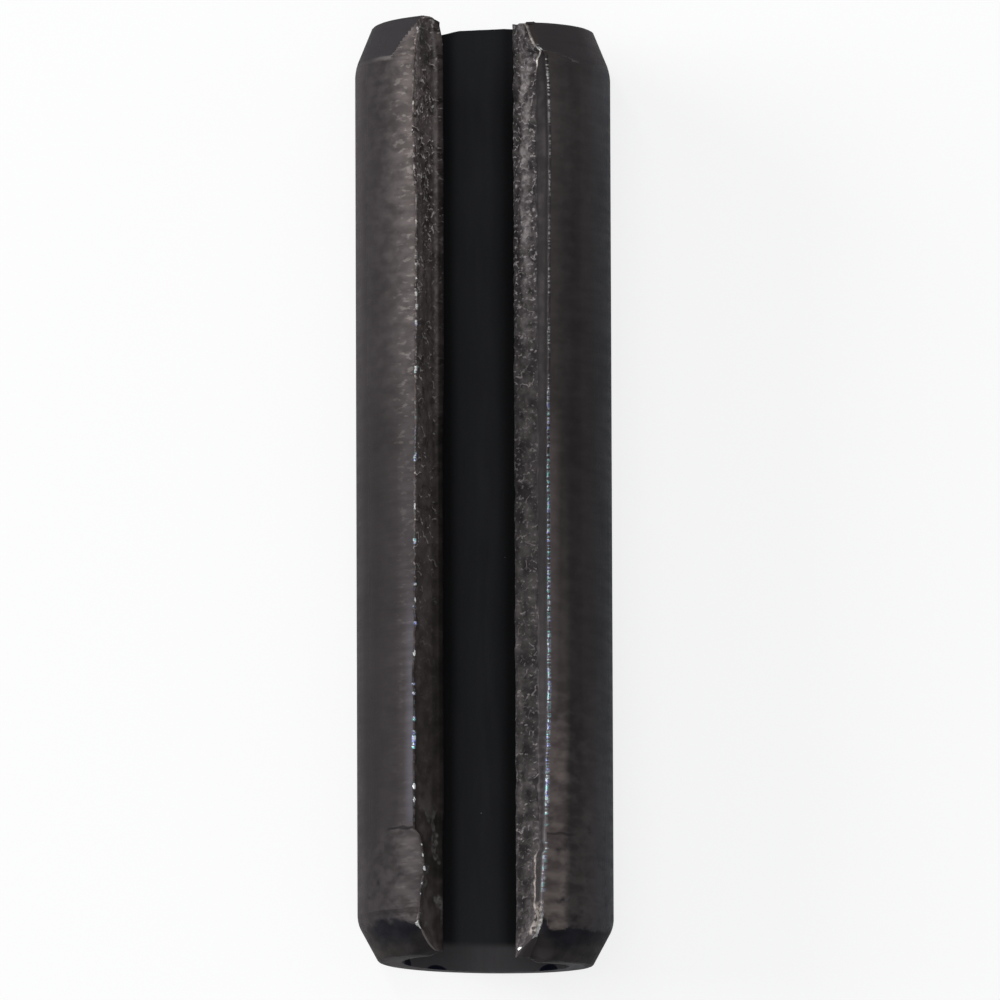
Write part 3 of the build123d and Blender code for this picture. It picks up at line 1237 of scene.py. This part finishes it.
def left_face_colour(along, deep, under, broad, grain, clumps):
    """Torn steel with rims, chips and a pale near end, painted shade at top and bottom, painted highlights on
    two edges.
    """
    amount = graded(along, {-15: 1.15, -8: 1.05, -6: 1.2, -5: 1.35, -2: 1.78, 5: 1.78, 9: 1.9, 14: 2.35}, 3)
    left = scaled((0.055, 0.045, 0.042), amount * ramp(broad, 0.3, 0.7, 0.8, 1.2))
    busy = graded(along, {-10: 0.0, -5: 0.1, -1: 0.7, 3: 0.6, 7: 0.6, 9: 1.0})
    left_pits = use("pits", size=0.26, share=busy, seed=2.0)
    busy = busy * clumps
    left = blend(left_pits.hollow * busy * 0.6, left, (0.02, 0.016, 0.014))
    left = blend(left_pits.rim * busy * ramp(deep, 1.32, 1.22), left, bright_rim)
    chips = patchy(size=0.13, detail=1.0, seed=24.0, low=0.6, high=0.68)
    chips = chips * graded(along, {-15: 0.0, 0: 0.1, 6: 0.2, 9: 0.9})
    left = blend(chips * ramp(clumps, 0, 1, 0.3, 1.0), left, (0.46, 0.42, 0.4))
    # Painted shade: darker lower down the face, towards the bore.
    shade_towards_bore = graded(along, {-15: 0.55, -11: 0.5, -8: 0.37, 2: 0.42, 5: 0.56, 12: 0.74})
    left = scaled(left, ramp(deep, 0.95, 1.25, 1.0, shade_towards_bore))
    facets = cloudy(size=0.9, detail=2.0, seed=25.0)
    left = scaled(left, blotches(facets, graded(along, {-15: 1, -11: 1, -9: 0.4, 15: 0.4}), 0.35))
    pale = patchy(size=0.55, stretch=(1, 1.4, 0.8), detail=2.0, seed=27.0, low=0.53, high=0.6)
    pale = pale * graded(along, {-15.2: 0.0, -14.8: 0.9, -11.2: 0.9, -10.6: 0.0})
    left = blend(pale * ramp(grain, 0.42, 0.56, 0.3, 1.0), left, (0.12, 0.107, 0.103))
    smooth = ramp(abs(along - 14.9), 0.85, 0.6) * ramp(abs(deep - 0.75), 0.35, 0.2)
    left = blend(smooth * 0.8, left, (0.05, 0.043, 0.041))
    # A painted highlight along the inner edge, where the face rolls under.
    inner = ramp(deep, 1.18, 1.24) * ramp(deep, 1.33, 1.28)
    inner = inner * graded(along, {-8: 0.0, 0: 0.0, 4: 0.5, 8: 1.0})
    left = blend(inner * ramp(grain, 0.4, 0.6, 0.2, 0.7), left, (0.15, 0.135, 0.13))
    brow = ramp(under, 0.28, 0.14) * graded(along, {-15: 0, 9.5: 0, 12: 0.4, 13: 0.9})
    brow = brow * ramp(under, 0.02, 0.08)
    left = blend(brow * ramp(grain, 0.44, 0.58), left, (0.25, 0.225, 0.21))
    # Painted shade where the face rolls under into the bore.
    shade = graded(along, {-15: 0.8, -11: 0.7, -6: 0.45, 1: 0.32, 5: 0.36, 14: 0.4, 15: 0.75})
    left = scaled(left, ramp(deep, 1.29, 1.36, 1.0, shade) * ramp(deep, 1.38, 1.49, 1.0, 0.5))
    # Painted shade along the top edge, under the lip.
    shade = graded(along, {-14.6: 1, -14.2: 0.55, -5: 0.6, 3: 0.75, 15: 0.8})
    left = scaled(left, ramp(under, 0.13, 0.02, 1.0, shade))
    # A painted highlight along the corner of the near nose.
    nose_corner_highlight = ramp(under, 0.1, 0.03) * graded(along, {-15.6: 1, -15.0: 0.8, -14.7: 0, 15: 0})
    return blend(nose_corner_highlight, left, (0.125, 0.11, 0.105))

# %% [markdown]
# The torn steel of the right face changes along the pin, and differently near its top, middle and bottom.
# So its lightness is graded at three depths, and the three are mixed by depth.

# %% The torn steel of the right face
def torn_right(along, deep, broad, clumps):
    """The torn steel under the land, graded along the pin at three depths."""
    upper = graded(along, {
        -15: 1.0, -12: 0.9, -9: 0.7, -6.4: 0.55, -3: 0.68, 0: 0.58, 4.6: 0.68, 9: 0.94, 14: 1.02,
    }, 3)
    middle = graded(along, {
        -15: 0.85, -12: 0.7, -9: 0.52, -6.4: 0.62, -3: 0.65, 0: 0.6, 4.6: 0.98, 8: 1.75, 11: 2.6,
    }, 3)
    lower = graded(along, {
        -15: 0.95, -12: 0.9, -9: 0.9, -6.4: 1.1, -3: 0.72, 0: 0.56, 4.6: 0.6, 8: 0.66, 12: 0.78,
    }, 3)
    height = deep + (broad - 0.5) * 0.4
    top_share, low_share = ramp(height, 0.92, 0.74), ramp(height, 1.05, 1.22)
    core = 1.0 - top_share - low_share
    amount = top_share * upper + core * middle + low_share * lower
    soft = cloudy(size=0.42, stretch=(1, 1.3, 1), detail=3.0, seed=20.0)
    lit = graded(along, {-15: 2.2, -12: 2.0, -8: 1.5, -3: 1.35, 15: 1.4}, 3)
    right = scaled((0.043, 0.0385, 0.0385), amount * ramp(soft, 0.34, 0.66, 0.6, lit))
    busy = graded(along, {-14: 0.8, -8: 0.45, -3: 0.3, 3: 0.4, 6: 0.6, 12: 0.9})
    right_pits = use("pits", size=0.26, share=busy, seed=6.0)
    right = blend(right_pits.hollow * busy * 0.55, right, (0.018, 0.015, 0.016))
    shown = graded(along, {-15: 0.7, -12: 0.6, -8: 0.4, -3: 0.28, 4: 0.35, 8: 0.55, 15: 0.65})
    right = blend(right_pits.rim * shown * ramp(clumps, 0, 1, 0.5, 1), right, chip_grey)
    specks = cloudy(size=0.11, detail=1.0, seed=26.0)
    speckled = graded(along, {-15: 0.3, -10: 0.2, 4: 0.25, 8: 0.6, 15: 0.7})
    speckled = speckled * ramp(core, 0.0, 1.0, 1.0, 0.5)
    right = blend(ramp(specks, 0.42, 0.36) * speckled * 0.8, right, (0.02, 0.017, 0.018))
    return blend(ramp(specks, 0.6, 0.68) * speckled * 0.8, right, chip_grey)

# %% [markdown]
# The land above it is smooth. The blade's teeth left fine upright marks on it towards the near end. Its top,
# where it rounds into the lip, is lighter with a painted highlight.

# %% The clean land
def clean_land(along, deep, broad):
    """The smooth land of the right face, with the marks of the blade's teeth and a painted highlight at its
    top.
    """
    land_amount = graded(along, {
        -15: 1.7, -12: 1.8, -9: 1.45, -6.4: 1.55, -3: 1.0, 0: 0.95, 4.6: 0.88, 9.7: 0.8, 14: 0.66,
    }, 3)
    # A painted highlight on the top of the land, where it rounds into the lip, strongest at the near end.
    lip_highlight = graded(along, {-9: 1.7, -2: 1.4, 2: 1.15, 15: 1.2}, 2)
    land_amount = land_amount * ramp(deep, 0.25, 0.0, 1.0, lip_highlight)
    land = scaled((0.035, 0.0312, 0.0318), land_amount * ramp(broad, 0.3, 0.7, 0.9, 1.12))
    teeth = calc("SINE", (along + broad * 0.12) * (2 * pi / tooth_pitch))
    teeth = ramp(teeth, -0.2, 0.8) * graded(along, {-13: 0, -12.4: 0.8, -9: 0.8, -7.5: 0.2, -6: 0})
    return blend(teeth * ramp(broad, 0.35, 0.6, 0.2, 0.8), land, (0.1, 0.09, 0.1))

# %% [markdown]
# Last come the parts where both meet: steel that was chewed up at the near corner, a bright ridge where the
# tear begins, and the corners at the ends.

# %% The cut faces as a whole
def torn_colour():
    """The left face, then the right one: torn steel, the land, chewed steel, the ridge, and the corners."""
    where = use("flat_map")
    along, deep = where.along, where.deep
    broad = cloudy(size=0.45, detail=2.0, seed=17.0)
    grain = cloudy(size=0.15, detail=2.0, seed=18.0)
    under = mark("under_skin", "Fac")
    clumps = patchy(size=0.9, stretch=(1, 1, 0.7), detail=1.0, seed=19.0, low=0.4, high=0.52)
    left = left_face_colour(along, deep, under, broad, grain, clumps)
    edge = torn_edge(where)
    land, below = clean_land(along, deep, broad), torn_right(along, deep, broad, clumps)
    right = blend(ramp(edge, -0.03, 0.03), land, below)
    chewed = ramp(abs(along + 14.45), 0.6, 0.4)
    chewed = chewed * ramp(grain, 0.44, 0.52) * ramp(edge, 0.05, -0.02)
    right = blend(chewed * 0.85, right, (0.36, 0.32, 0.29))
    ridge = ramp(abs(edge), 0.065, 0.02) * graded(along, {
        -14.3: 0, -14.1: 1, -12.3: 0.9, -11.9: 0, 14.2: 0, 14.45: 1, 15.5: 1,
    })
    ridge = ridge * ramp(grain, 0.36, 0.56, 0.45, 1.0)
    right = blend(ridge, right, blend(ramp(along, 0.0, 1.0), (0.3, 0.265, 0.245), bright_rim))
    corner = ramp(under, 0.17, 0.11) * graded(along, {-15: 0, 15.0: 0, 15.15: 1, 15.6: 0.8})
    corner = corner * ramp(grain, 0.38, 0.58, 0.35, 1.0)
    cap = ramp(under, 0.068, 0.045) * graded(along, {-14.8: 1, -14.6: 0, 14.6: 0, 14.8: 1})
    cap_colour = blend(ramp(along, 0.0, 1.0), (0.042, 0.037, 0.036), (0.044, 0.0375, 0.0355))
    right = blend(corner, right, (0.4, 0.36, 0.33))
    return blend(where.left, blend(cap, right, cap_colour), left)


def torn_rough():
    """A little rougher in the hollows."""
    broad = cloudy(size=0.45, detail=2.0, seed=17.0)
    return ramp(broad, 0.3, 0.7, 0.6, 0.46)


def torn_height():
    """Fine grain on the torn steel, and almost none on the clean land."""
    where = use("flat_map")
    grain = cloudy(size=0.2, detail=2.0, seed=18.0)
    torn = calc("MAXIMUM", ramp(torn_edge(where), -0.03, 0.03), where.left)
    share = graded(where.along, {-15: 0.5, -4: 0.35, 4: 0.4, 10: 0.8})
    share = share * ramp(where.left * ramp(where.along, 4.0, 9.0), 0.0, 1.0, 1.0, 2.2)
    return grain * share * ramp(torn, 0.0, 1.0, 0.15, 1.0)


torn = skin("torn_steel", torn_colour, torn_rough, torn_height, 0.035)

# %% [markdown]
# The numbers that each face got on the flat blank now choose its material.

# %% Each face takes its finish
pin.data.materials.clear()
for material in (outside, bore, torn):
    pin.data.materials.append(material)
pin.data.polygons.foreach_set("material_index", finish)
print("materials:", [slot.name for slot in pin.material_slots])

# %% [markdown]
# ## The stage
# The pin lies on a plain white floor. The camera, and the steel where it mirrors the floor, see mostly an
# even glow, so the floor stays white. All other light meets plain paper. So the glow doesn't light the pin
# from below, and a soft shadow is left under it.

# %% Floor
bpy.ops.mesh.primitive_plane_add(size=6, location=(0, 0, 0))
floor = bpy.context.object
floor.name = "floor"
paper = bpy.data.materials.new("white_paper")
paper.use_nodes = True
tree = paper.node_tree
tree.nodes.clear()
seen = node("ShaderNodeLightPath").outputs
rays = [Value(seen[name]) for name in ("Is Camera Ray", "Is Glossy Ray", "Is Transmission Ray")]
straight = calc("MAXIMUM", calc("MAXIMUM", rays[0], rays[1]), rays[2])
sheet = given_by(node("ShaderNodeBsdfDiffuse", {"Color": (0.85, 0.85, 0.85)})).BSDF
glow = given_by(node("ShaderNodeEmission")).Emission
both = given_by(node("ShaderNodeMixShader", {0: straight * 0.8, 1: sheet, 2: glow})).Shader
node("ShaderNodeOutputMaterial", {"Surface": both})
floor.data.materials.append(paper)
print("floor:", floor.name, paper.name)

# %% [markdown]
# A blue-white room gives the pin an even, weak light. Two long narrow boxes above draw the light band along
# each shoulder, and a large box on each side lights the flanks.

# %% Studio light
world = bpy.data.worlds.new("studio")
bpy.context.scene.world = world
world.use_nodes = True
world.node_tree.nodes["Background"].inputs["Color"].default_value = (0.9, 0.93, 1, 1)
world.node_tree.nodes["Background"].inputs["Strength"].default_value = 0.35

middle = Vector((0, 0, outer_radius / 1000))


def softbox(name, place, width, height, level, colour=(1, 1, 1)):
    """A soft lamp that looks at the pin. At level 1 it shows colours as they are written."""
    lamp = bpy.data.lights.new(name, "AREA")
    lamp.shape = "RECTANGLE"
    lamp.size = width
    lamp.size_y = height
    lamp.color = colour
    stand = bpy.data.objects.new(name, lamp)
    bpy.context.scene.collection.objects.link(stand)
    stand.location = place
    gap = middle - Vector(place)
    stand.rotation_euler = gap.to_track_quat("-Z", "Y").to_euler()
    lamp.energy = level * pi * pi * gap.length_squared


softbox("left_box", (-0.40, 0.12, 0.20), 0.30, 0.30, 1.0)
softbox("over_left", (-0.033, 0.06, 0.60), 0.02, 0.60, 0.28)
softbox("over_right", (0.0740, 0.06, 0.60), 0.02, 0.60, 0.13)
softbox("right_box", (0.45, 0.05, 0.12), 0.30, 0.30, 0.12, (0.85, 0.92, 1.0))
print("lamps:", [lamp.name for lamp in bpy.data.lights])

# %% [markdown]
# The camera looks down with a long lens, leaning a little towards the near end and a little to the right.
# Its lens is worked out from the width of the frame at the pin, so the pin keeps its size at any distance.

# %% Camera
lean, turn, roll = radians(5.74), radians(2.65), radians(-0.21)
to_camera = Vector((sin(turn) * cos(lean), -sin(lean), cos(turn) * cos(lean)))
right = Vector((0, 1, 0)).cross(to_camera).normalized()
up = to_camera.cross(right)
right, up = right * cos(roll) + up * sin(roll), up * cos(roll) - right * sin(roll)
pixel = 0.033829e-3  # of a frame a thousand pixels wide, in metres at the pin
frame_width = 1000 * pixel
sensor_width = 36
aim = middle + 15.9 * pixel * right - 3.9 * pixel * up
distance = 0.6
lens = bpy.data.cameras.new("camera")
lens.lens = sensor_width * distance / frame_width
lens.clip_start, lens.clip_end = 0.05, 20
camera = bpy.data.objects.new("camera", lens)
bpy.context.scene.collection.objects.link(camera)
place = aim + distance * to_camera
camera.matrix_world = Matrix((
    (right.x, up.x, to_camera.x, place.x), (right.y, up.y, to_camera.y, place.y),
    (right.z, up.z, to_camera.z, place.z), (0, 0, 0, 1),
))
bpy.context.scene.camera = camera
bpy.context.scene.view_settings.view_transform = "Standard"
print("lens:", round(lens.lens, 1), "mm")
